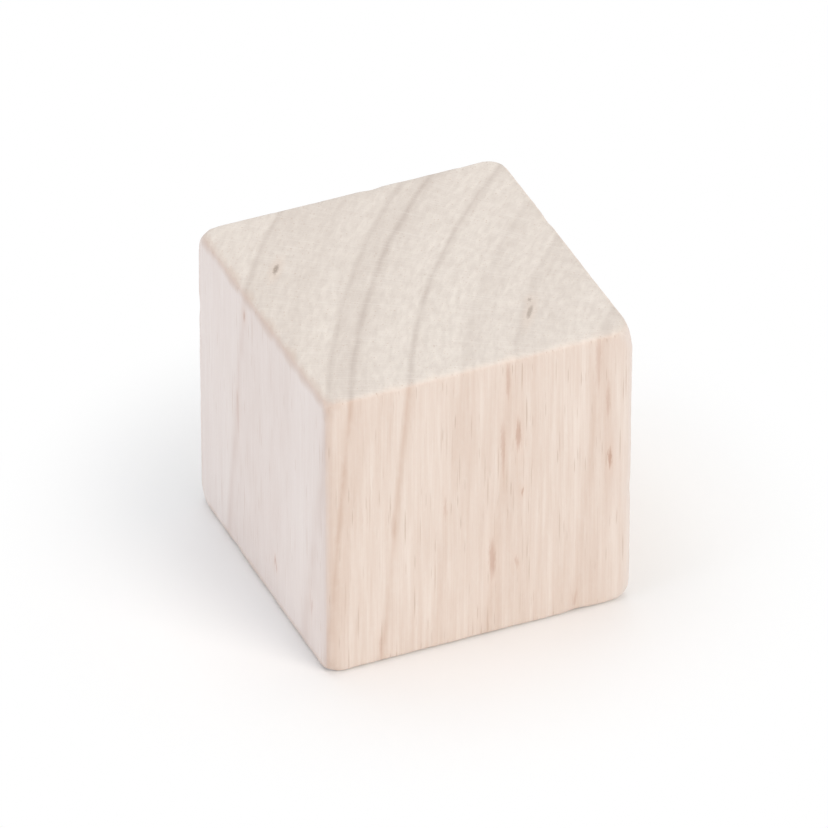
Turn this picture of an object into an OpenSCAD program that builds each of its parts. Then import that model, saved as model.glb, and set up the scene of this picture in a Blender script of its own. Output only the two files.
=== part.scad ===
// Wooden cube: one solid piece of hardwood, cut from a square stick and sanded on all six faces.
// The grain runs along Z. The origin is at the middle of the face that the cube stands on.

/* [Cube] */
// Length of each of the twelve edges
edge = 30; // [16:1:60]

/* [Easing] */
// Radius that sanding leaves along each edge
arris_r = 0.6; // [0.3:0.05:1.2]
// Radius of the ball that would round a corner back as far as tumbling has worn it
corner_r = 1.4; // [1.2:0.05:2.5]

/* [Hidden] */

// Facets in a full turn of every round surface
$fn = 64;

// Distance from the middle of the cube to each face
half = edge / 2;
// Width of the flat part of a face, between its two eased edges
flat = edge - 2 * arris_r;

// How far a round edge of radius 1 stands back from the sharp one, along each of the two faces
ridge_back = 1 - 1 / sqrt(2);
// How far a ball corner of radius 1 stands back from the sharp one, along each of the three axes
tip_back = 1 - 1 / sqrt(3);
// Gap between the wearing ball and the ridge of an eased edge, so that the wear stays at the corner
ridge_gap = 0.02;
// Radius of the ball that wears the corner to corner_r's depth and clears the ridges by that gap
wear_r = (tip_back * corner_r - ridge_back * arris_r + ridge_gap) / (tip_back - ridge_back);
// Place of that ball's centre along each axis, from the middle of the cube
wear_at = half - wear_r + ridge_back * (wear_r - arris_r) + ridge_gap;

// The stick's section: a square whose four corners are rounded over
module eased_square() {
    square([edge, flat], center = true);
    square([flat, edge], center = true);
    for (x = [-1, 1], y = [-1, 1])
        translate([x, y] * flat / 2) circle(r = arris_r);
}

// One cube's length of that stick, with its own two ends still sharp
module eased_stick() {
    linear_extrude(height = edge, center = true) eased_square();
}

// What tumbling takes off the corner at +X +Y +Z: all that lies beyond the wearing ball
module corner_waste() {
    translate([1, 1, 1] * wear_at)
    difference() {
        cube(edge);
        sphere(r = wear_r);
    }
}

// Three crossing sticks leave all twelve edges eased, and the waste then comes off the eight corners
module wooden_cube() {
    color("#e8d9cd")
    translate([0, 0, half])
    difference() {
        intersection() {
            eased_stick();
            rotate([90, 0, 0]) eased_stick();
            rotate([0, 90, 0]) eased_stick();
        }
        for (turn = [0 : 90 : 270], tip = [0, 180])
            rotate([tip, 0, turn]) corner_waste();
    }
}

wooden_cube();
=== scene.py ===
"""Dress a small wooden cube: its sanded and tumbled shape, its solid grain, and a pale studio round it."""

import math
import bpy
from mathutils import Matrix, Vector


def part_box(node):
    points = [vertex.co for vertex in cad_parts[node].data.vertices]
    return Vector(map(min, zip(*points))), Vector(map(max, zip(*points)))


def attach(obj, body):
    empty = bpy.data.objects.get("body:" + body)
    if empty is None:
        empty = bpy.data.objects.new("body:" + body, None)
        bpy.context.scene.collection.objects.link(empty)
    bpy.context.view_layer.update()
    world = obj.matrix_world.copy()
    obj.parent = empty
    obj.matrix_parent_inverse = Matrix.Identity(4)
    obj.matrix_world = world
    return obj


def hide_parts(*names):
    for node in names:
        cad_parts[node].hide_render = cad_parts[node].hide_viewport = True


bl_info = {
    "name": "Wooden Cube",
    "version": (1, 0, 0),
    "blender": (4, 5, 0),
    "location": "View3D > Sidebar > Wooden Cube",
    "description": "Shapes a sanded hardwood cube, finishes it in solid wood and sets a pale studio",
    "category": "Add Mesh",
}

import bmesh
import bpy
from mathutils import Vector

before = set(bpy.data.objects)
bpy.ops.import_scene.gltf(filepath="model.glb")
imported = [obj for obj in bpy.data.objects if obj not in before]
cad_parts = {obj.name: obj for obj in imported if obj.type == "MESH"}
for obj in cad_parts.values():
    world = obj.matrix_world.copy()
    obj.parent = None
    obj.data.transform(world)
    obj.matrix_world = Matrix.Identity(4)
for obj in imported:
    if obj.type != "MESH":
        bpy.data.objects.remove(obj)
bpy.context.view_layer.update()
LOW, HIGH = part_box("wooden_cube")

MM = 0.001
AXES = (Vector((1, 0, 0)), Vector((0, 1, 0)), Vector((0, 0, 1)))


def linear(hex_colour):
    """Turn an sRGB hex colour into the linear RGBA that a socket holds."""
    channels = [int(hex_colour[i:i + 2], 16) / 255 for i in (1, 3, 5)]
    return tuple(c / 12.92 if c <= 0.04045 else ((c + 0.055) / 1.055) ** 2.4 for c in channels) + (1.0,)


def length(name, description, default):
    """A property that holds a length in metres."""
    return bpy.props.FloatProperty(name=name, description=description, default=default, unit="LENGTH",
                                   precision=5)


def colour(name, description, default):
    """A property that holds a colour, given in sRGB hex."""
    return bpy.props.FloatVectorProperty(name=name, description=description, default=linear(default),
                                         size=4, subtype="COLOR", min=0, max=1)


def power(name, description, default):
    """A property that holds a lamp's power."""
    return bpy.props.FloatProperty(name=name, description=description + ", in watts", default=default, min=0,
                                   subtype="POWER")


# ---------------------------------------------------------------- settings


class CubeShape(bpy.types.PropertyGroup):
    """Sizes of the cube as sawing, sanding and tumbling leave it."""

    edge: length("Edge", "Length of each edge", HIGH.x - LOW.x)
    arris: length("Eased edge", "How far each edge is rounded over", 0.52 * MM)
    corner: length("Worn corner", "How far along its edges each corner is worn off, on average", 1.38 * MM)
    arris_steps: bpy.props.IntProperty(name="Steps round an edge", description="Faces across an eased edge",
                                       default=6, min=2)
    corner_passes: bpy.props.IntProperty(name="Corner passes", default=10, min=0,
                                         description="How many times each worn corner is rubbed smooth")
    grid: length("Grid", "Spacing of the cuts that let the faces take fine wear", 0.3 * MM)
    uneven_face: length("Face unevenness", "How deep hand sanding dips the flat faces", 0.03 * MM)
    uneven_arris: length("Edge unevenness", "How much more the eased edges are worn in places", 0.12 * MM)


class BirchLook(bpy.types.PropertyGroup):
    """Colours and grain of the wood. The pith is where the middle of the trunk lay."""

    pith_x: length("Pith X", "Where the pith passes through the plane of the top face", 65.3 * MM)
    pith_y: length("Pith Y", "Where the pith passes through the plane of the top face", -47.5 * MM)
    lean_x: bpy.props.FloatProperty(name="Lean X", default=0.059,
                                    description="How far the rings drift towards X for each unit of height")
    lean_y: bpy.props.FloatProperty(name="Lean Y", default=-0.057,
                                    description="How far the rings drift towards Y for each unit of height")
    # Quarter-sawn colours: partly the wood's own, partly painted warm key light on the -Y side
    quarter_early_and_warm_light: colour("Quarter-sawn, early wood", "Pale wood where a side is cut across the rings",
                          "#F4E9E0")
    # Flat-sawn colours: partly the wood's own, partly painted cool shade on the -X side
    quarter_late_and_warm_light: colour("Quarter-sawn, late wood", "Rings where a side is cut across them", "#D7BFAF")
    flat_early_and_cool_shade: colour("Flat-sawn, early wood", "Pale wood where a side is cut along the rings", "#EDE4DE")
    flat_late_and_cool_shade: colour("Flat-sawn, late wood", "Rings where a side is cut along them", "#D6C4BA")
    end_early: colour("End, early wood", "Pale wood between the rings on the end faces", "#F0E8DF")
    end_late: colour("End, late wood", "Rings on the end faces", "#CABEB5")
    ray: colour("Rays", "Fine lines that cross the rings on the end faces", "#F2ECE5")
    vessel: colour("Vessels", "Open pores on the end faces and the short lines they make on the sides",
                   "#C9B09F")
    side_fleck: colour("Flecks on the sides", "Pith flecks cut lengthwise are rusty brown", "#A8663F")
    end_fleck: colour("Flecks on the ends", "Pith flecks cut across are dark brown", "#78685A")
    stain: colour("Stain", "The rust that spreads from the flecks", "#E2BEA4")
    # Painted shade on the edges of the -X side, along with some tan from handling
    tan: colour("Rubbed edges", "The tan that handling leaves on the eased edges", "#C8AD9A")
    # A painted highlight on the other eased edges, along with freshly sanded wood
    fresh_and_highlight: colour("Fresh edges", "Eased edges that sanding has just broken", "#F5E7DB")


class PaleStudio(bpy.types.PropertyGroup):
    """Camera, lamps and backdrop."""

    azimuth: bpy.props.FloatProperty(name="Azimuth", description="Camera's turn round the cube",
                                     default=math.radians(-23.4), subtype="ANGLE")
    elevation: bpy.props.FloatProperty(name="Elevation", description="Camera's height angle",
                                       default=math.radians(35.6), subtype="ANGLE")
    distance: length("Distance", "From the camera to the middle of the cube", 971 * MM)
    lens: bpy.props.FloatProperty(name="Lens", description="Focal length on a 36 mm sensor", default=466.0,
                                  unit="CAMERA")
    key: power("Key lamp", "The soft box at the front right", 13.5)
    key_tint: colour("Key tint", "Slightly warm", "#FFF4EA")
    fill: power("Fill lamp", "The soft box at the left", 7.0)
    fill_tint: colour("Fill tint", "Slightly cool", "#ECF0FF")
    overhead: power("Overhead lamp", "The soft box above and a little behind", 7.7)
    overhead_tint: colour("Overhead tint", "Nearly white", "#FAFEFF")
    tent: bpy.props.FloatProperty(name="Light tent", description="Strength of the even light from all sides",
                                  default=0.5, min=0)


# ---------------------------------------------------------------- the cube's shape


def select_none():
    """Deselect everything, so that an operator touches only what is made next."""
    bpy.ops.object.select_all(action="DESELECT")


# Each corner: its side in X, Y and Z, and how much it is worn, where 1 is the average
CORNERS = (
    ((1, -1, 1), 1.1), ((-1, -1, 1), 0.95), ((-1, 1, 1), 1.0), ((1, 1, 1), 0.93),
    ((1, -1, -1), 1.0), ((-1, -1, -1), 0.93), ((-1, 1, -1), 0.96), ((1, 1, -1), 1.12),
)
# How far from its tip a corner is rubbed smooth, in lengths of what is worn off it
SMOOTHED_REACH = 1.4
# How far in from a face its worn edges reach, in widths of an eased edge
WORN_REACH = 1.6


def eased_block(shape):
    """A cube primitive with its corners worn off and its edges rounded over. It is left in edit mode."""
    select_none()
    half = shape.edge / 2
    bpy.ops.mesh.primitive_cube_add(size=shape.edge, location=(0, 0, half))
    block = bpy.context.object
    block.name = "sanded_cube"
    block.data.name = "sanded_cube"
    bpy.ops.object.transform_apply(location=True, rotation=True, scale=True)
    bpy.ops.object.mode_set(mode="EDIT")
    for side, share in CORNERS:
        bpy.ops.mesh.select_all(action="DESELECT")
        mesh = bmesh.from_edit_mesh(block.data)
        tip = Vector(side) * half + Vector((0, 0, half))
        min(mesh.verts, key=lambda vertex: (vertex.co - tip).length).select_set(True)
        bmesh.update_edit_mesh(block.data)
        bpy.ops.mesh.bevel(offset=shape.corner * share, affect="VERTICES", segments=1)
    bpy.ops.mesh.select_all(action="SELECT")
    bpy.ops.mesh.bevel(offset=shape.arris, affect="EDGES", segments=shape.arris_steps, profile=0.5,
                       clamp_overlap=False)
    return block


def cut_grid(shape):
    """Cut the block, still in edit mode, into a fine grid along all three axes, but not its eased edges."""
    count = round(shape.edge / shape.grid)
    half = shape.edge / 2
    middle = Vector((0, 0, half))
    for axis in AXES:
        for k in range(1, count):
            place = k * shape.edge / count - half
            if abs(place) < half - shape.arris:
                bpy.ops.mesh.select_all(action="SELECT")
                bpy.ops.mesh.bisect(plane_co=middle + axis * place, plane_no=axis)


def round_corners(block, shape):
    """Rub each worn corner smooth, so that it runs into its edges without a ridge."""
    half = shape.edge / 2
    for side, share in CORNERS:
        tip = Vector(side) * half + Vector((0, 0, half))
        bpy.ops.mesh.select_all(action="DESELECT")
        mesh = bmesh.from_edit_mesh(block.data)
        for vertex in mesh.verts:
            if (vertex.co - tip).length < SMOOTHED_REACH * shape.corner * share:
                vertex.select_set(True)
        bmesh.update_edit_mesh(block.data)
        bpy.ops.mesh.vertices_smooth(factor=0.5, repeat=shape.corner_passes)


def edge_group(block, shape):
    """Weight the vertices on and beside the eased edges: most in an edge's middle, none on the flat faces."""
    half = shape.edge / 2
    group = block.vertex_groups.new(name="eased edges")
    reach = shape.arris * WORN_REACH
    for vertex in block.data.vertices:
        away = sorted(half - abs(c) for c in (vertex.co.x, vertex.co.y, vertex.co.z - half))
        weight = max(0.0, 1 - away[1] / reach)
        group.add([vertex.index], weight, "REPLACE")
    return group.name


# Knocks on the edges: where, from the middle of the base in mm, how deep and how wide in mm
KNOCKS = (
    ((4.6, -15.0, 30.0), 0.09, 1.3), ((-7.9, -15.0, 30.0), 0.07, 0.9), ((-15.0, -3.2, 30.0), 0.1, 1.4),
    ((-15.0, -15.0, 19.5), 0.08, 1.6), ((-15.0, -15.0, 6.3), 0.09, 1.2), ((15.0, -15.0, 12.4), 0.08, 1.7),
    ((9.5, -15.0, 0.0), 0.1, 1.6), ((-15.0, 6.4, 0.0), 0.09, 1.5), ((15.0, 4.0, 30.0), 0.08, 1.4),
    ((15.0, 15.0, 17.0), 0.1, 1.6), ((2.0, 15.0, 30.0), 0.08, 1.3), ((-15.0, 15.0, 22.0), 0.09, 1.6),
)


def knock(block, shape):
    """Press small dents into the edges, each inwards from where it was struck."""
    middle = Vector((0, 0, shape.edge / 2))
    scale = shape.edge / (HIGH.x - LOW.x)
    for place, depth, width in KNOCKS:
        struck = Vector(place) * MM * scale
        inward = middle - struck
        inward[min(range(3), key=lambda i: abs(inward[i]))] = 0
        bpy.ops.mesh.select_all(action="DESELECT")
        mesh = bmesh.from_edit_mesh(block.data)
        nearest = min(mesh.verts, key=lambda vertex: (vertex.co - struck).length)
        nearest.select_set(True)
        bmesh.update_edit_mesh(block.data)
        bpy.ops.transform.translate(value=inward.normalized() * depth * MM, use_proportional_edit=True,
                                    proportional_edit_falloff="SMOOTH", proportional_size=width * MM)


def wear(block, name, patch, depth, group=""):
    """Sink the surface unevenly by up to depth, in patches about that far across, and apply it."""
    noise = bpy.data.textures.new(name, "CLOUDS")
    noise.noise_scale = patch
    noise.noise_depth = 2
    dent = block.modifiers.new(name, "DISPLACE")
    dent.texture = noise
    dent.texture_coords = "LOCAL"
    dent.mid_level = 1.0
    dent.strength = depth
    dent.vertex_group = group
    bpy.ops.object.modifier_apply(modifier=name)


class MESH_OT_sanded_cube(bpy.types.Operator):
    """Make the sanded cube and finish it in solid hardwood"""

    bl_idname = "mesh.sanded_cube"
    bl_label = "Sanded cube"

    def execute(self, context):
        shape = context.scene.cube_shape
        block = eased_block(shape)
        cut_grid(shape)
        round_corners(block, shape)
        knock(block, shape)
        bpy.ops.object.mode_set(mode="OBJECT")
        eased = edge_group(block, shape)
        wear(block, "hand sanding", 7 * MM, shape.uneven_face)
        wear(block, "tumbling", 2.4 * MM, shape.uneven_arris, eased)
        wear(block, "small knocks", 0.7 * MM, shape.uneven_arris / 3, eased)
        bpy.ops.object.shade_smooth()
        block.data.materials.append(sanded_birch(context.scene.birch_look, shape))
        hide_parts("wooden_cube")
        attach(block, "root")
        return {"FINISHED"}


# ---------------------------------------------------------------- the wood


def add(tree, kind, inputs, **settings):
    """Add one node, give it its settings, and set or link each input. Return its outputs."""
    made = tree.nodes.new(kind)
    for name, value in settings.items():
        setattr(made, name, value)
    for socket, value in inputs.items():
        if isinstance(value, bpy.types.NodeSocket):
            tree.links.new(value, made.inputs[socket])
        else:
            made.inputs[socket].default_value = value
    return made.outputs


# The year rings that the cube cuts: radius from the pith in mm, how dark its last line of late wood is, how
# dark the late wood is before that line, over how many mm it comes in, and how dark the wood is just outside
# the line: 0 where the next year's pale early wood starts at once.
RINGS = (
    (62.6, 0.55, 0.36, 2.6, 0.0), (70.2, 0.52, 0.26, 5.0, 0.0), (74.65, 0.38, 0.24, 2.4, 0.0),
    (79.35, 0.78, 0.1, 1.0, 0.0), (84.4, 1.0, 0.34, 2.4, 0.3), (86.4, 0.72, 0.3, 0.9, 0.05),
    (90.1, 0.28, 0.2, 2.2, 0.24), (95.15, 0.74, 0.28, 3.0, 0.0),
)
# Where a ring's last line starts, where it is darkest and where it ends, in mm out from the ring's radius
LINE_START, LINE_FULL, LINE_END = -0.5, -0.05, 0.38
# Radii at the two ends of the ramp that holds the rings, in mm
RAMP_START, RAMP_END = 50.0, 104.0
# Late wood comes and goes: how much of it there is at the least, on a side and on an end
LEAST_ON_SIDE, LEAST_ON_END = 0.4, 0.7
# About how far the cube is from the pith, in mm, which turns an angle round the pith into a length
MEAN_RADIUS = 80.7
# The cosines between which a surface turns from side to end, and a side from quarter-sawn to flat-sawn
SIDE_COSINE, END_COSINE = 0.5, 0.85
QUARTER_COSINE, FLAT_COSINE = 0.5, 0.8

# How rings and fibres wander: over how many mm across the grain and along it, and by how many mm at most
WANDER = ((13, 70, 1.0), (2.5, 18, 0.16))

# Patterns in the grain: name, size in mm out from the pith, round it and along it, the range of the noise
# that is used, and its detail. A fibre is 0.02 mm across and a ray 0.05 mm: both are drawn as bundles, coarse
# enough to show. Fuzz is what sanding leaves standing.
PATTERNS = (
    ("patch", (3, 9, 25), 0.3, 0.7, 2.0),
    ("broken", (1.2, 3.5, 6), 0.35, 0.65, 2.0),
    ("band", (0.55, 2.6, 14), 0.35, 0.7, 2.0),
    ("lump", (0.5, 1.3, 7), 0.36, 0.66, 1.0),
    ("fibre", (0.16, 0.2, 6), 0.3, 0.7, 2.0),
    ("ray", (4.5, 0.17, 0.9), 0.52, 0.72, 1.0),
    ("fuzz", (0.12, 0.12, 0.5), 0.3, 0.7, 1.0),
)
# Vessels: across and along the cells that hold one each, in mm, and how much of its cell a vessel fills. They
# come out about 0.1 mm across and 1.5 to 3.5 mm long.
VESSELS = ((0.42, 11, 0.21), (0.29, 5, 0.2), (0.6, 16, 0.12))

# Pith flecks and brown streaks: middle in mm from the middle of the base, half size in mm out from the pith,
# round it and along the grain, and how dark
FLECKS = (
    ((3.7, -15.0, 21.4), (0.27, 0.6, 1.6), 0.42),
    ((12.7, -15.0, 16.4), (0.2, 0.6, 1.25), 0.58),
    ((12.45, -15.0, 22.8), (0.19, 0.6, 2.2), 0.25),
    ((13.0, -15.0, 15.0), (1.0, 1.3, 7.0), 0.07),
    ((1.2, -15.0, 8.6), (0.35, 0.6, 2.3), 0.4),
    ((-8.5, -15.0, 14.85), (0.25, 0.6, 1.8), 0.12),
    ((-3.4, -15.0, 15.2), (0.17, 0.6, 1.2), 0.22),
    ((2.65, -15.0, 27.9), (0.22, 0.6, 1.9), 0.31),
    ((2.2, -15.0, 20.5), (0.22, 0.6, 2.8), 0.3),
    ((11.45, -15.0, 27.4), (0.26, 0.6, 3.4), 0.23),
    ((-9.75, -15.0, 1.7), (0.16, 0.6, 1.1), 0.23),
    ((9.4, -15.0, 1.6), (0.28, 0.6, 0.8), 0.22),
    ((3.6, -15.0, 7.4), (0.22, 0.6, 0.5), 0.26),
    ((4.1, -15.0, 15.4), (0.18, 0.6, 0.42), 0.46),
    ((-10.85, 6.2, 30.0), (0.26, 0.78, 1.2), 0.66),
    ((7.4, -8.95, 30.0), (0.25, 1.35, 1.4), 0.53),
    ((8.2, -7.15, 30.0), (0.22, 0.42, 1.0), 0.47),
    ((-15.0, 3.7, 27.5), (0.5, 0.28, 0.6), 0.4),
    ((-15.0, 5.5, 16.1), (0.5, 0.26, 2.0), 0.15),
    ((-15.0, -3.1, 4.6), (0.5, 0.26, 0.5), 0.44),
    ((-15.0, -11.5, 5.8), (0.5, 0.3, 0.8), 0.22),
    ((15.0, 3.4, 11.2), (0.5, 0.24, 1.9), 0.5),
    ((15.0, -7.1, 23.0), (0.5, 0.24, 1.4), 0.35),
    ((-4.2, 15.0, 18.4), (0.3, 0.4, 2.0), 0.45),
    ((8.3, 15.0, 7.5), (0.3, 0.4, 1.3), 0.3),
    ((2.6, 5.5, 0.0), (0.2, 0.9, 1.2), 0.6),
)
# How far a fleck's outline strays out from the pith, round it and along the grain, in mm
RAGGED = (0.12, 0.3, 1.4)
# A fleck's core and the stain round it: where each starts and where it is full, in half sizes of the fleck
# from its middle, and how strong its colour then is
CORE_START, CORE_FULL, CORE_SHARE = 1.15, 0.45, 0.85
STAIN_START, STAIN_FULL, STAIN_SHARE = 3.2, 0.8, 0.24

# Eased edges, pale ones and tan ones: how far in from the faces they show, in mm, and how strongly
# Pale edges: a painted highlight along with fresh sanding. Tan edges: painted shade along with handling tan
FRESH_HIGHLIGHT_REACH, TAN_SHADE_REACH = 0.55, 1.25
FRESH_HIGHLIGHT_SHARE, TAN_SHADE_SHARE = 0.2, 0.5
# In mm: how far in their colour is at its strongest, how far its limit wanders, and how much further it
# reaches on one of an edge's two faces
EDGE_FULL, EDGE_SWAY, EDGE_LOPSIDED = 0.1, 0.5, 0.3
# Where the edges stop being tan, painted shade with handling tan, and where they are fully so, in mm from the
# -X face
TAN_SHADE_STOP, TAN_SHADE_FULL = 2.5, 0.8
# Where the tan of an upright edge starts to go and has gone, in mm from an end face, and how much of it goes
UPRIGHT_START, UPRIGHT_FULL, UPRIGHT_LOST = 1.1, 2.2, 0.6

# Roughness of the sides and of the ends, and how much of it handling takes off
SIDE_ROUGHNESS, END_ROUGHNESS, HANDLED_POLISH = 0.62, 0.78, 0.15


def round_the_pith(tree, place):
    """Turn a place in the trunk into how far it is out from the pith, round it and along it.

    Return that, and the line straight out from the pith to the place.
    """
    axis = add(tree, "ShaderNodeSeparateXYZ", {0: place})
    flat = add(tree, "ShaderNodeVectorMath", {0: place, 1: (1, 1, 0)}, operation="MULTIPLY")[0]
    out = add(tree, "ShaderNodeVectorMath", {0: flat}, operation="LENGTH")["Value"]
    turn = add(tree, "ShaderNodeMath", {0: axis["Y"], 1: axis["X"]}, operation="ARCTAN2")[0]
    around = add(tree, "ShaderNodeMath", {0: turn, 1: MEAN_RADIUS}, operation="MULTIPLY")[0]
    return add(tree, "ShaderNodeCombineXYZ", {0: out, 1: around, 2: axis["Z"]})[0], flat


def year_rings(tree, look, place, flat):
    """How dark the late wood is, from 0 to 1. The rings lean a little against the fibres."""
    height = add(tree, "ShaderNodeSeparateXYZ", {0: place})["Z"]
    rise = add(tree, "ShaderNodeCombineXYZ", {0: height, 1: height})[0]
    leaned = add(tree, "ShaderNodeVectorMath", {0: rise, 1: (-look.lean_x, -look.lean_y, 0), 2: flat},
                 operation="MULTIPLY_ADD")[0]
    radius = add(tree, "ShaderNodeVectorMath", {0: leaned}, operation="LENGTH")["Value"]
    share = add(tree, "ShaderNodeMapRange", {"Value": radius, "From Min": RAMP_START,
                                             "From Max": RAMP_END})[0]
    late = add(tree, "ShaderNodeValToRGB", {0: share})[0]
    stops, start = [], 0.0
    for ring, line, before, fade, after in RINGS:
        stops += [(ring - fade, start), (ring + LINE_START, before), (ring + LINE_FULL, line),
                  (ring + LINE_END, after)]
        start = after
    elements = late.node.color_ramp.elements
    while len(elements) < len(stops):
        elements.new(1.0)
    for element, (ring, dark) in zip(elements, stops):
        element.position = (ring - RAMP_START) / (RAMP_END - RAMP_START)
        element.color = (dark, dark, dark, 1.0)
    return late


def grain_patterns(tree, trunk):
    """The patterns that lie along the fibres, and the vessels: each by its name, and each from 0 to 1."""
    grain = {}
    for name, size, low, high, detail in PATTERNS:
        scaled = add(tree, "ShaderNodeMapping", {"Vector": trunk, "Scale": [1 / s for s in size]})[0]
        noise = add(tree, "ShaderNodeTexNoise", {"Vector": scaled, "Scale": 1.0, "Detail": detail})[0]
        grain[name] = add(tree, "ShaderNodeMapRange", {"Value": noise, "From Min": low, "From Max": high})[0]
    vessel = 0.0
    for across, along, filled in VESSELS:
        # The shift is there so that the three sets of cells don't line up
        scaled = add(tree, "ShaderNodeMapping", {"Vector": trunk, "Location": (across, along, filled),
                                                 "Scale": (1 / across, 1 / across, 1 / along)})[0]
        cells = add(tree, "ShaderNodeTexVoronoi", {"Vector": scaled, "Scale": 1.0})
        # Some vessels are open and some are faint
        open_to = add(tree, "ShaderNodeSeparateColor", {0: cells["Color"]})[0]
        hole = add(tree, "ShaderNodeMapRange", {"Value": cells["Distance"], "From Min": filled,
                                                "From Max": filled / 2, "To Max": open_to})[0]
        vessel = add(tree, "ShaderNodeMath", {0: vessel, 1: hole}, operation="MAXIMUM")[0]
    grain["vessel"] = vessel
    return grain


def way_of_cut(tree, normal, flat):
    """Which way the wood is cut: from 0 on a side to 1 on an end, and from 0 quarter-sawn to 1 flat-sawn."""
    facing = add(tree, "ShaderNodeSeparateXYZ", {0: normal})["Z"]
    steep = add(tree, "ShaderNodeMath", {0: facing}, operation="ABSOLUTE")[0]
    end = add(tree, "ShaderNodeMapRange", {"Value": steep, "From Min": SIDE_COSINE,
                                           "From Max": END_COSINE})[0]
    outward = add(tree, "ShaderNodeVectorMath", {0: flat}, operation="NORMALIZE")[0]
    along = add(tree, "ShaderNodeVectorMath", {0: outward, 1: normal}, operation="DOT_PRODUCT")["Value"]
    along = add(tree, "ShaderNodeMath", {0: along}, operation="ABSOLUTE")[0]
    sawn = add(tree, "ShaderNodeMapRange", {"Value": along, "From Min": QUARTER_COSINE,
                                            "From Max": FLAT_COSINE})[0]
    return end, sawn


def plain_wood(tree, look, late, grain, end, sawn):
    """The colour of the wood without its flecks."""
    least = add(tree, "ShaderNodeMapRange", {"Value": end, "To Min": LEAST_ON_SIDE,
                                             "To Max": LEAST_ON_END})[0]
    whole = add(tree, "ShaderNodeMapRange", {"Value": grain["broken"], "To Min": least})[0]
    rings = add(tree, "ShaderNodeMath", {0: late, 1: whole}, operation="MULTIPLY")[0]
    shades = []
    # The quarter- and flat-sawn colours hold painted light: warm on the lit -Y side, cool shade on the -X
    # side
    for quarter, flat, across in ((look.quarter_early_and_warm_light, look.flat_early_and_cool_shade, look.end_early),
                                  (look.quarter_late_and_warm_light, look.flat_late_and_cool_shade, look.end_late)):
        side = add(tree, "ShaderNodeMix", {"Factor": sawn, "A": quarter, "B": flat},
                   data_type="RGBA")["Result"]
        shades.append(add(tree, "ShaderNodeMix", {"Factor": end, "A": side, "B": across},
                          data_type="RGBA")["Result"])
    early, dark = shades
    wood = add(tree, "ShaderNodeMix", {"Factor": rings, "A": early, "B": dark}, data_type="RGBA")["Result"]

    # Each layer: its pattern, how much of it shows on a quarter-sawn side, a flat-sawn side and an end, and
    # its colour
    for name, on_quarter, on_flat, on_end, tint in (
        ("patch", 0.15, 0.07, 0.14, dark),
        ("band", 0.36, 0.12, 0.24, dark),
        ("lump", 0.12, 0.07, 0.26, dark),
        ("fibre", 0.23, 0.16, 0.08, dark),
        ("fuzz", 0.06, 0.07, 0.12, dark),
        ("ray", 0.10, 0.0, 0.24, look.ray),
        ("vessel", 0.60, 0.45, 0.50, look.vessel),
    ):
        shown = add(tree, "ShaderNodeMapRange", {"Value": sawn, "To Min": on_quarter, "To Max": on_flat})[0]
        shown = add(tree, "ShaderNodeMapRange", {"Value": end, "To Min": shown, "To Max": on_end})[0]
        shown = add(tree, "ShaderNodeMath", {0: shown, 1: grain[name]}, operation="MULTIPLY")[0]
        wood = add(tree, "ShaderNodeMix", {"Factor": shown, "A": wood, "B": tint}, data_type="RGBA")["Result"]
    return wood


def pith_flecks(tree, look, pith, straight, wood, grain, end):
    """Colour the flecks and the stain round each. Return the colour, and how much is fleck."""
    ragged = add(tree, "ShaderNodeCombineXYZ", {0: grain["fuzz"], 1: grain["fibre"], 2: grain["fibre"]})[0]
    ragged = add(tree, "ShaderNodeVectorMath", {0: ragged, 1: (0.5, 0.5, 0.5)}, operation="SUBTRACT")[0]
    ragged = add(tree, "ShaderNodeVectorMath", {0: ragged, 1: RAGGED, 2: straight},
                 operation="MULTIPLY_ADD")[0]
    place = round_the_pith(tree, ragged)[0]
    core, stain = 0.0, 0.0
    for middle, size, dark in FLECKS:
        x, y = middle[0] + pith[0], middle[1] + pith[1]
        centre = (math.hypot(x, y), math.atan2(y, x) * MEAN_RADIUS, middle[2] + pith[2])
        spot = add(tree, "ShaderNodeMapping", {"Vector": place, "Location": centre, "Scale": size},
                   vector_type="TEXTURE")[0]
        away = add(tree, "ShaderNodeVectorMath", {0: spot}, operation="LENGTH")["Value"]
        inner = add(tree, "ShaderNodeMapRange", {"Value": away, "From Min": CORE_START,
                                                 "From Max": CORE_FULL, "To Max": dark})[0]
        outer = add(tree, "ShaderNodeMapRange", {"Value": away, "From Min": STAIN_START,
                                                 "From Max": STAIN_FULL, "To Max": dark})[0]
        core = add(tree, "ShaderNodeMath", {0: core, 1: inner}, operation="MAXIMUM")[0]
        stain = add(tree, "ShaderNodeMath", {0: stain, 1: outer}, operation="MAXIMUM")[0]
    stain = add(tree, "ShaderNodeMath", {0: stain, 1: STAIN_SHARE}, operation="MULTIPLY")[0]
    core = add(tree, "ShaderNodeMath", {0: core, 1: CORE_SHARE}, operation="MULTIPLY")[0]
    wood = add(tree, "ShaderNodeMix", {"Factor": stain, "A": wood, "B": look.stain},
               data_type="RGBA")["Result"]
    brown = add(tree, "ShaderNodeMix", {"Factor": end, "A": look.side_fleck, "B": look.end_fleck},
                data_type="RGBA")["Result"]
    wood = add(tree, "ShaderNodeMix", {"Factor": core, "A": wood, "B": brown}, data_type="RGBA")["Result"]
    return wood, core


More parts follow.
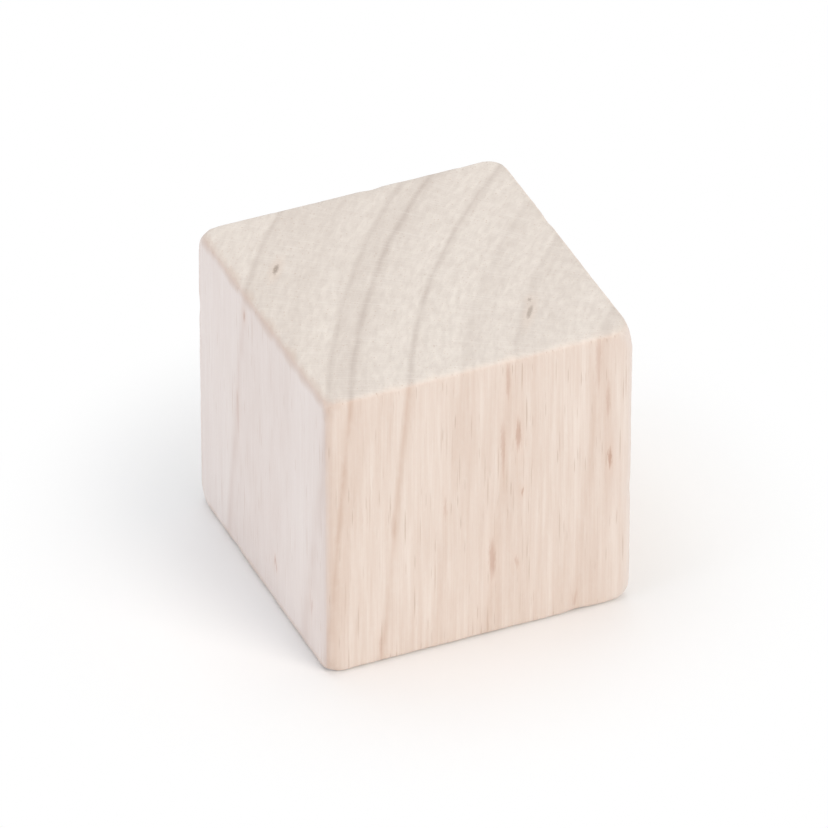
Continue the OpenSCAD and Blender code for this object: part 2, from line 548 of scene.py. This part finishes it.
def edge_wear_and_painted_light(tree, look, shape, here, wood, grain, end):
    """Colour the eased edges: painted shade and handling tan on the -X side, painted highlight and fresh
    sanding elsewhere.

    Return the colour, and how strongly the edge colour shows, which also stands for wear.
    """
    # How far in from the two nearest faces, in mm: small only on the eased edges
    half = shape.edge / 2 / MM
    from_middle = add(tree, "ShaderNodeMapping", {"Vector": here, "Location": (0, 0, -half),
                                                  "Scale": (1 / MM, 1 / MM, 1 / MM)})[0]
    off_middle = add(tree, "ShaderNodeVectorMath", {0: from_middle}, operation="ABSOLUTE")[0]
    inset = add(tree, "ShaderNodeVectorMath", {0: (half, half, half), 1: off_middle},
                operation="SUBTRACT")[0]
    side = add(tree, "ShaderNodeSeparateXYZ", {0: inset})
    near = add(tree, "ShaderNodeMath", {0: side["X"], 1: side["Y"]}, operation="MINIMUM")[0]
    far = add(tree, "ShaderNodeMath", {0: side["X"], 1: side["Y"]}, operation="MAXIMUM")[0]
    second = add(tree, "ShaderNodeMath", {0: far, 1: side["Z"]}, operation="MINIMUM")[0]
    second = add(tree, "ShaderNodeMath", {0: near, 1: second}, operation="MAXIMUM")[0]
    uneven = add(tree, "ShaderNodeMath", {0: grain["broken"], 1: EDGE_SWAY, 2: second},
                 operation="MULTIPLY_ADD")[0]
    # The end edges of the -X side are tan: painted shade, along with some handling tan
    shaded_and_rubbed = add(tree, "ShaderNodeSeparateXYZ", {0: from_middle})["X"]
    shaded_and_rubbed = add(tree, "ShaderNodeMapRange", {"Value": shaded_and_rubbed, "From Min": TAN_SHADE_STOP - half,
                                              "From Max": TAN_SHADE_FULL - half})[0]
    # The tan painted shade reaches further down the side, and the pale painted highlight further in on the
    # end
    apart = add(tree, "ShaderNodeMath", {0: shaded_and_rubbed, 1: end}, operation="SUBTRACT")[0]
    apart = add(tree, "ShaderNodeMath", {0: apart}, operation="ABSOLUTE")[0]
    uneven = add(tree, "ShaderNodeMath", {0: apart, 1: -EDGE_LOPSIDED, 2: uneven},
                 operation="MULTIPLY_ADD")[0]
    reach = add(tree, "ShaderNodeMapRange", {"Value": shaded_and_rubbed, "To Min": FRESH_HIGHLIGHT_REACH,
                                             "To Max": TAN_SHADE_REACH})[0]
    most = add(tree, "ShaderNodeMapRange", {"Value": shaded_and_rubbed, "To Min": FRESH_HIGHLIGHT_SHARE,
                                            "To Max": TAN_SHADE_SHARE})[0]
    # How strongly the edge colour shows: a pale painted highlight, a tan painted shade, and the wear that
    # handling leaves
    worn = add(tree, "ShaderNodeMapRange", {"Value": uneven, "From Min": reach, "From Max": EDGE_FULL,
                                            "To Max": most}, interpolation_type="SMOOTHSTEP")[0]
    # Away from the ends, the upright edges of that side carry little of the tan painted shade
    upright = add(tree, "ShaderNodeMapRange", {"Value": side["Z"], "From Min": UPRIGHT_START,
                                               "From Max": UPRIGHT_FULL, "To Max": shaded_and_rubbed})[0]
    kept = add(tree, "ShaderNodeMath", {0: upright, 1: -UPRIGHT_LOST, 2: 1.0}, operation="MULTIPLY_ADD")[0]
    worn = add(tree, "ShaderNodeMath", {0: worn, 1: kept}, operation="MULTIPLY")[0]
    # Pale painted highlight on the fresh edges, tan painted shade with handling tan on the -X side
    tint = add(tree, "ShaderNodeMix", {"Factor": shaded_and_rubbed, "A": look.fresh_and_highlight, "B": look.tan},
               data_type="RGBA")["Result"]
    wood = add(tree, "ShaderNodeMix", {"Factor": worn, "A": wood, "B": tint}, data_type="RGBA")["Result"]
    return wood, worn


def sanded_birch(look, shape):
    """Birch, sawn from a square stick, sanded fine on all faces, tumbled and left bare.

    To the eye: pale and close grained. The end faces are greyer and duller, with faint curved rings, rays
    and pin-prick pores. The sides are warmer, with upright fibres, vessel lines and a few brown flecks.
    """
    material = bpy.data.materials.new("birch sanded bare")
    material.use_nodes = True
    tree = material.node_tree
    tree.nodes.clear()

    # Place in the trunk in mm, from the pith in the plane of the top face
    here = add(tree, "ShaderNodeTexCoord", {})
    pith = (-look.pith_x / MM, -look.pith_y / MM, -shape.edge / MM)
    straight = add(tree, "ShaderNodeMapping", {"Vector": here["Object"], "Location": pith,
                                               "Scale": (1 / MM, 1 / MM, 1 / MM)})[0]
    place = straight
    for across, along, sway in WANDER:
        slow = add(tree, "ShaderNodeMapping", {"Vector": place,
                                               "Scale": (1 / across, 1 / across, 1 / along)})[0]
        noise = add(tree, "ShaderNodeTexNoise", {"Vector": slow, "Scale": 1.0, "Detail": 1.0})["Color"]
        centred = add(tree, "ShaderNodeVectorMath", {0: noise, 1: (0.5, 0.5, 0.5)}, operation="SUBTRACT")[0]
        place = add(tree, "ShaderNodeVectorMath", {0: centred, 1: (sway, sway, 0), 2: place},
                    operation="MULTIPLY_ADD")[0]
    trunk, flat = round_the_pith(tree, place)

    late = year_rings(tree, look, place, flat)
    grain = grain_patterns(tree, trunk)
    end, sawn = way_of_cut(tree, here["Normal"], flat)
    wood = plain_wood(tree, look, late, grain, end, sawn)
    wood, fleck = pith_flecks(tree, look, pith, straight, wood, grain, end)
    wood, worn = edge_wear_and_painted_light(tree, look, shape, here["Object"], wood, grain, end)

    # Bare wood is dull: the ends scatter more than the sides, and handled edges a little less
    dull = add(tree, "ShaderNodeMapRange", {"Value": end, "To Min": SIDE_ROUGHNESS,
                                            "To Max": END_ROUGHNESS})[0]
    rough = add(tree, "ShaderNodeMath", {0: worn, 1: -HANDLED_POLISH, 2: dull}, operation="MULTIPLY_ADD")[0]
    # Relief in mm: fibres, late wood and fuzz stand up, and vessels and flecks sink in
    relief = 0.0
    for where, height in ((grain["fibre"], 0.012), (grain["vessel"], -0.03), (fleck, -0.03),
                          (grain["fuzz"], 0.008), (late, 0.01)):
        relief = add(tree, "ShaderNodeMath", {0: where, 1: height, 2: relief}, operation="MULTIPLY_ADD")[0]
    bump = add(tree, "ShaderNodeBump", {"Height": relief, "Strength": 0.6, "Distance": MM})[0]
    shader = add(tree, "ShaderNodeBsdfPrincipled", {"Base Color": wood, "Roughness": rough, "IOR": 1.5,
                                                    "Normal": bump})[0]
    add(tree, "ShaderNodeOutputMaterial", {"Surface": shader})
    return material


# ---------------------------------------------------------------- the studio


# Soft boxes: name, place from the middle of the cube's base and width, in cube edges. They stand far enough
# off to light the cube evenly from top to bottom.
LAMPS = (("key", (21, -45, 39), 30), ("fill", (-51, 0, 18), 30), ("overhead", (0, 12, 54), 42))
# The floor, in cube edges: its radius, and how far out its shadow starts to fade and is gone
FLOOR_RADIUS, FADE_START, FADE_END = 100, 0.6, 1.35


def lamp(name, place, aim, size, watts, tint):
    """A square soft box at place, facing aim."""
    bpy.ops.object.light_add(type="AREA", location=place)
    made = bpy.context.object
    made.name = name
    made.data.name = name
    made.data.shape = "SQUARE"
    made.data.size = size
    made.data.energy = watts
    made.data.color = tint[:3]
    made.rotation_euler = (Vector(aim) - Vector(place)).to_track_quat("-Z", "Y").to_euler()


def seen_plain(tree):
    """1 for rays from the camera, from gloss and through glass, and 0 for the rays that light things."""
    path = add(tree, "ShaderNodeLightPath", {})
    seen = add(tree, "ShaderNodeMath", {0: path["Is Camera Ray"], 1: path["Is Glossy Ray"]},
               operation="MAXIMUM")[0]
    return add(tree, "ShaderNodeMath", {0: seen, 1: path["Is Transmission Ray"]}, operation="MAXIMUM")[0]


def white_card(size):
    """Smooth white card: it takes the cube's shadow close by, and is plain white further out."""
    material = bpy.data.materials.new("white card")
    material.use_nodes = True
    tree = material.node_tree
    tree.nodes.clear()
    card = add(tree, "ShaderNodeBsdfDiffuse", {"Color": linear("#FAFAFA")})[0]
    glow = add(tree, "ShaderNodeEmission", {"Color": (1, 1, 1, 1), "Strength": 1.0})[0]
    here = add(tree, "ShaderNodeTexCoord", {})["Object"]
    away = add(tree, "ShaderNodeVectorMath", {0: here}, operation="LENGTH")["Value"]
    far = add(tree, "ShaderNodeMapRange", {"Value": away, "From Min": FADE_START * size,
                                           "From Max": FADE_END * size}, interpolation_type="SMOOTHSTEP")[0]
    share = add(tree, "ShaderNodeMath", {0: far, 1: seen_plain(tree)}, operation="MULTIPLY")[0]
    surface = add(tree, "ShaderNodeMixShader", {0: share, 1: card, 2: glow})[0]
    add(tree, "ShaderNodeOutputMaterial", {"Surface": surface})
    return material


def light_tent(strength):
    """Even light from all sides, which shows as plain white behind the cube."""
    world = bpy.data.worlds.new("light tent")
    world.use_nodes = True
    tree = world.node_tree
    tree.nodes.clear()
    glow = add(tree, "ShaderNodeMapRange", {"Value": seen_plain(tree), "To Min": strength})[0]
    tent = add(tree, "ShaderNodeBackground", {"Color": (1, 1, 1, 1), "Strength": glow})[0]
    add(tree, "ShaderNodeOutputWorld", {"Surface": tent})
    return world


class SCENE_OT_pale_studio(bpy.types.Operator):
    """Set the white floor, the soft lamps and the camera"""

    bl_idname = "scene.pale_studio"
    bl_label = "Pale studio"

    def execute(self, context):
        scene = context.scene
        studio = scene.pale_studio
        middle = (LOW + HIGH) / 2
        size = HIGH.z - LOW.z
        select_none()
        bpy.ops.mesh.primitive_circle_add(vertices=96, radius=FLOOR_RADIUS * size, fill_type="NGON",
                                          location=(0, 0, 0))
        floor = context.object
        floor.name = "white_floor"
        floor.data.materials.append(white_card(size))
        for name, place, width in LAMPS:
            lamp(name + " softbox", [c * size for c in place], middle, width * size,
                 getattr(studio, name), getattr(studio, name + "_tint"))
        scene.world = light_tent(studio.tent)
        turn, rise = studio.azimuth, studio.elevation
        back = Vector((math.sin(turn) * math.cos(rise), -math.cos(turn) * math.cos(rise), math.sin(rise)))
        bpy.ops.object.camera_add(location=middle + back * studio.distance)
        camera = context.object
        camera.rotation_euler = (-back).to_track_quat("-Z", "Y").to_euler()
        camera.data.sensor_width = 36
        camera.data.lens = studio.lens
        camera.data.clip_start = 0.05
        camera.data.clip_end = 10
        scene.camera = camera
        scene.view_settings.view_transform = "Standard"
        return {"FINISHED"}


# ---------------------------------------------------------------- add-on


class VIEW3D_PT_wooden_cube(bpy.types.Panel):
    """Buttons and settings for the wooden cube"""

    bl_label = "Wooden Cube"
    bl_space_type = "VIEW_3D"
    bl_region_type = "UI"
    bl_category = "Wooden Cube"

    def draw(self, context):
        for settings, operator in ((context.scene.cube_shape, MESH_OT_sanded_cube.bl_idname),
                                   (context.scene.birch_look, None),
                                   (context.scene.pale_studio, SCENE_OT_pale_studio.bl_idname)):
            box = self.layout.box()
            for name in settings.__annotations__:
                box.prop(settings, name)
            if operator:
                box.operator(operator)


CLASSES = (CubeShape, BirchLook, PaleStudio, MESH_OT_sanded_cube, SCENE_OT_pale_studio, VIEW3D_PT_wooden_cube)


def register():
    """Register the classes and hang their settings on the scene."""
    for made in CLASSES:
        bpy.utils.register_class(made)
    bpy.types.Scene.cube_shape = bpy.props.PointerProperty(type=CubeShape)
    bpy.types.Scene.birch_look = bpy.props.PointerProperty(type=BirchLook)
    bpy.types.Scene.pale_studio = bpy.props.PointerProperty(type=PaleStudio)


def unregister():
    """Take the settings off the scene and unregister the classes."""
    del bpy.types.Scene.pale_studio
    del bpy.types.Scene.birch_look
    del bpy.types.Scene.cube_shape
    for made in reversed(CLASSES):
        bpy.utils.unregister_class(made)


def main():
    """Make the cube and its studio."""
    register()
    bpy.ops.mesh.sanded_cube()
    bpy.ops.scene.pale_studio()


if __name__ == "__main__":
    main()
